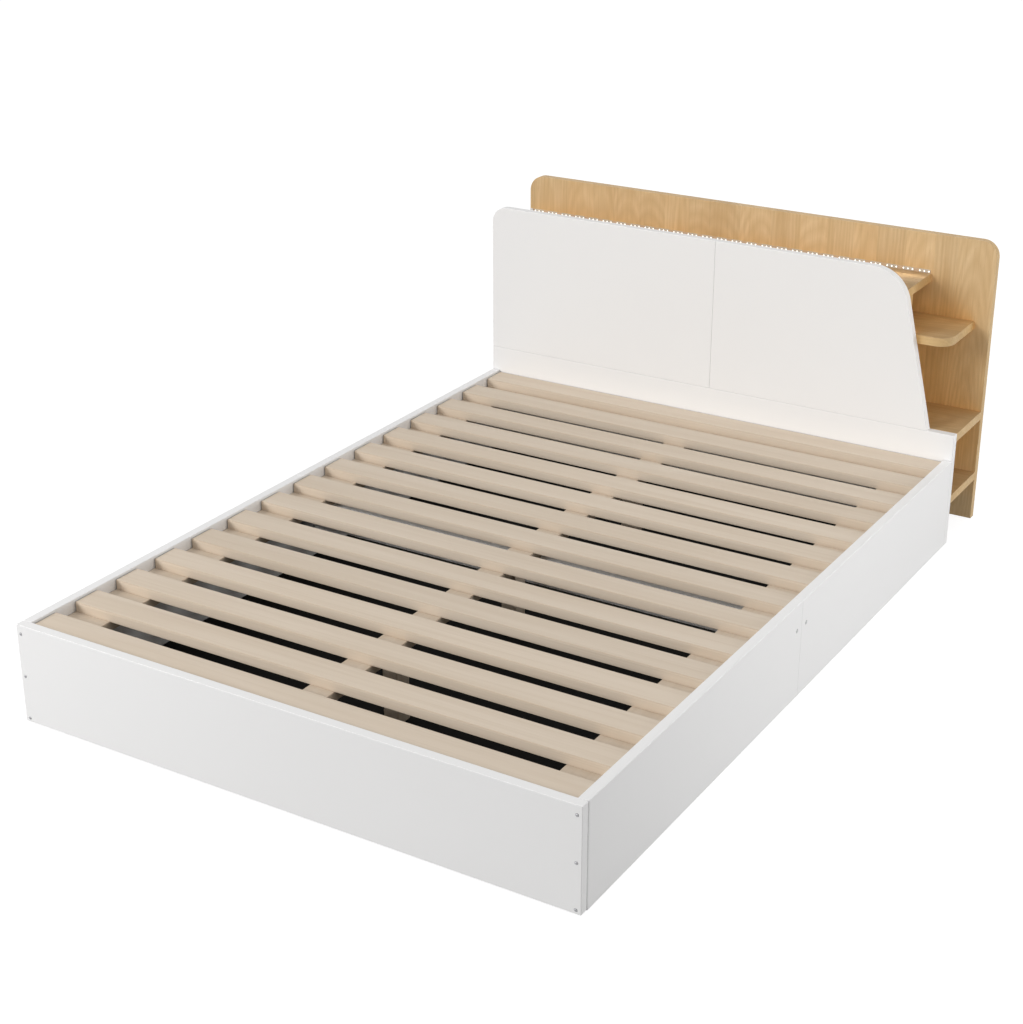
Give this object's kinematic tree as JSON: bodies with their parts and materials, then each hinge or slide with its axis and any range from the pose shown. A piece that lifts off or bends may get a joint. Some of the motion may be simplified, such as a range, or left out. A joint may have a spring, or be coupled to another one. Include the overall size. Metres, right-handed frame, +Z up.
{
  "type": "storage bed",
  "caption": "Low box bed with a white board frame, a loose slatted deck over a storage space, and an oak shelf headboard behind white panels with a slanted round-cornered end and a light strip.",
  "frame": {"origin": "on the floor, under the middle of the bed's overall footprint", "axes": "+X across the bed to the right as seen from the foot, +Y from the foot to the head, +Z up"},
  "size_m": [1.46, 2.27, 0.805],
  "materials": {
    "white_board": "white satin melamine",
    "oak_board": "satin light oak",
    "pale_wood": "planed, pale, matte",
    "dark_board": "matte black",
    "bracket_steel": "zinc plated",
    "screw_steel": "zinc plated, cross recess",
    "dowel_wood": "plain beech",
    "strip_base": "tan flexible strip",
    "strip_lamp": "clear warm white lamp",
    "feed_plastic": "white plastic"
  },
  "bodies": {
    "bed_frame": {"back_panel": "oak_board", "beam_front": "pale_wood", "beam_rear": "pale_wood", "bottom_board_front": "dark_board", "bottom_board_rear": "dark_board", "cleat_foot": "pale_wood", "cleat_head": "pale_wood", "cleat_left_front": "pale_wood", "cleat_left_rear": "pale_wood", "cleat_right_front": "pale_wood", "cleat_right_rear": "pale_wood", "cross_rail": "white_board", "end_panel_left": "oak_board", "footboard": "white_board", "head_panel_left": "white_board", "head_panel_low": "white_board", "head_panel_right": "white_board", "joint_bracket_left": "bracket_steel", "joint_bracket_right": "bracket_steel", "ledger_head": "pale_wood", "ledger_left_front": "pale_wood", "ledger_left_rear": "pale_wood", "ledger_right_front": "pale_wood", "ledger_right_rear": "pale_wood", "leg_front": "pale_wood", "leg_middle": "pale_wood", "leg_rear": "pale_wood", "light_strip": "strip_base", "rail_end_screws": "screw_steel", "rail_joint_bolts": "screw_steel", "rail_left_front": "white_board", "rail_left_rear": "white_board", "rail_right_front": "white_board", "rail_right_rear": "white_board", "shelf_bottom": "oak_board", "shelf_lower": "oak_board", "shelf_middle": "oak_board", "shelf_screws": "screw_steel", "shelf_top": "oak_board", "strip_feed": "feed_plastic", "strip_lamps": "strip_lamp", "support_screws": "screw_steel", "upright_middle": "oak_board", "upright_right": "oak_board", "wood_dowels": "dowel_wood"},
    "slat_01": {"slat_01": "pale_wood"},
    "slat_02": {"slat_02": "pale_wood"},
    "slat_03": {"slat_03": "pale_wood"},
    "slat_04": {"slat_04": "pale_wood"},
    "slat_05": {"slat_05": "pale_wood"},
    "slat_06": {"slat_06": "pale_wood"},
    "slat_07": {"slat_07": "pale_wood"},
    "slat_08": {"slat_08": "pale_wood"},
    "slat_09": {"slat_09": "pale_wood"},
    "slat_10": {"slat_10": "pale_wood"},
    "slat_11": {"slat_11": "pale_wood"},
    "slat_12": {"slat_12": "pale_wood"},
    "slat_13": {"slat_13": "pale_wood"},
    "slat_14": {"slat_14": "pale_wood"},
    "slat_15": {"slat_15": "pale_wood"}
  },
  "joints": [
    {"name": "slat_01_lift", "type": "slide", "parent": "bed_frame", "child": "slat_01", "axis": [0, 0, 1], "range_m": [0, 0.3]},
    {"name": "slat_02_lift", "type": "slide", "parent": "bed_frame", "child": "slat_02", "axis": [0, 0, 1], "range_m": [0, 0.3]},
    {"name": "slat_03_lift", "type": "slide", "parent": "bed_frame", "child": "slat_03", "axis": [0, 0, 1], "range_m": [0, 0.3]},
    {"name": "slat_04_lift", "type": "slide", "parent": "bed_frame", "child": "slat_04", "axis": [0, 0, 1], "range_m": [0, 0.3]},
    {"name": "slat_05_lift", "type": "slide", "parent": "bed_frame", "child": "slat_05", "axis": [0, 0, 1], "range_m": [0, 0.3]},
    {"name": "slat_06_lift", "type": "slide", "parent": "bed_frame", "child": "slat_06", "axis": [0, 0, 1], "range_m": [0, 0.3]},
    {"name": "slat_07_lift", "type": "slide", "parent": "bed_frame", "child": "slat_07", "axis": [0, 0, 1], "range_m": [0, 0.3]},
    {"name": "slat_08_lift", "type": "slide", "parent": "bed_frame", "child": "slat_08", "axis": [0, 0, 1], "range_m": [0, 0.3]},
    {"name": "slat_09_lift", "type": "slide", "parent": "bed_frame", "child": "slat_09", "axis": [0, 0, 1], "range_m": [0, 0.3]},
    {"name": "slat_10_lift", "type": "slide", "parent": "bed_frame", "child": "slat_10", "axis": [0, 0, 1], "range_m": [0, 0.3]},
    {"name": "slat_11_lift", "type": "slide", "parent": "bed_frame", "child": "slat_11", "axis": [0, 0, 1], "range_m": [0, 0.3]},
    {"name": "slat_12_lift", "type": "slide", "parent": "bed_frame", "child": "slat_12", "axis": [0, 0, 1], "range_m": [0, 0.3]},
    {"name": "slat_13_lift", "type": "slide", "parent": "bed_frame", "child": "slat_13", "axis": [0, 0, 1], "range_m": [0, 0.3]},
    {"name": "slat_14_lift", "type": "slide", "parent": "bed_frame", "child": "slat_14", "axis": [0, 0, 1], "range_m": [0, 0.3]},
    {"name": "slat_15_lift", "type": "slide", "parent": "bed_frame", "child": "slat_15", "axis": [0, 0, 1], "range_m": [0, 0.3]}
  ]
}
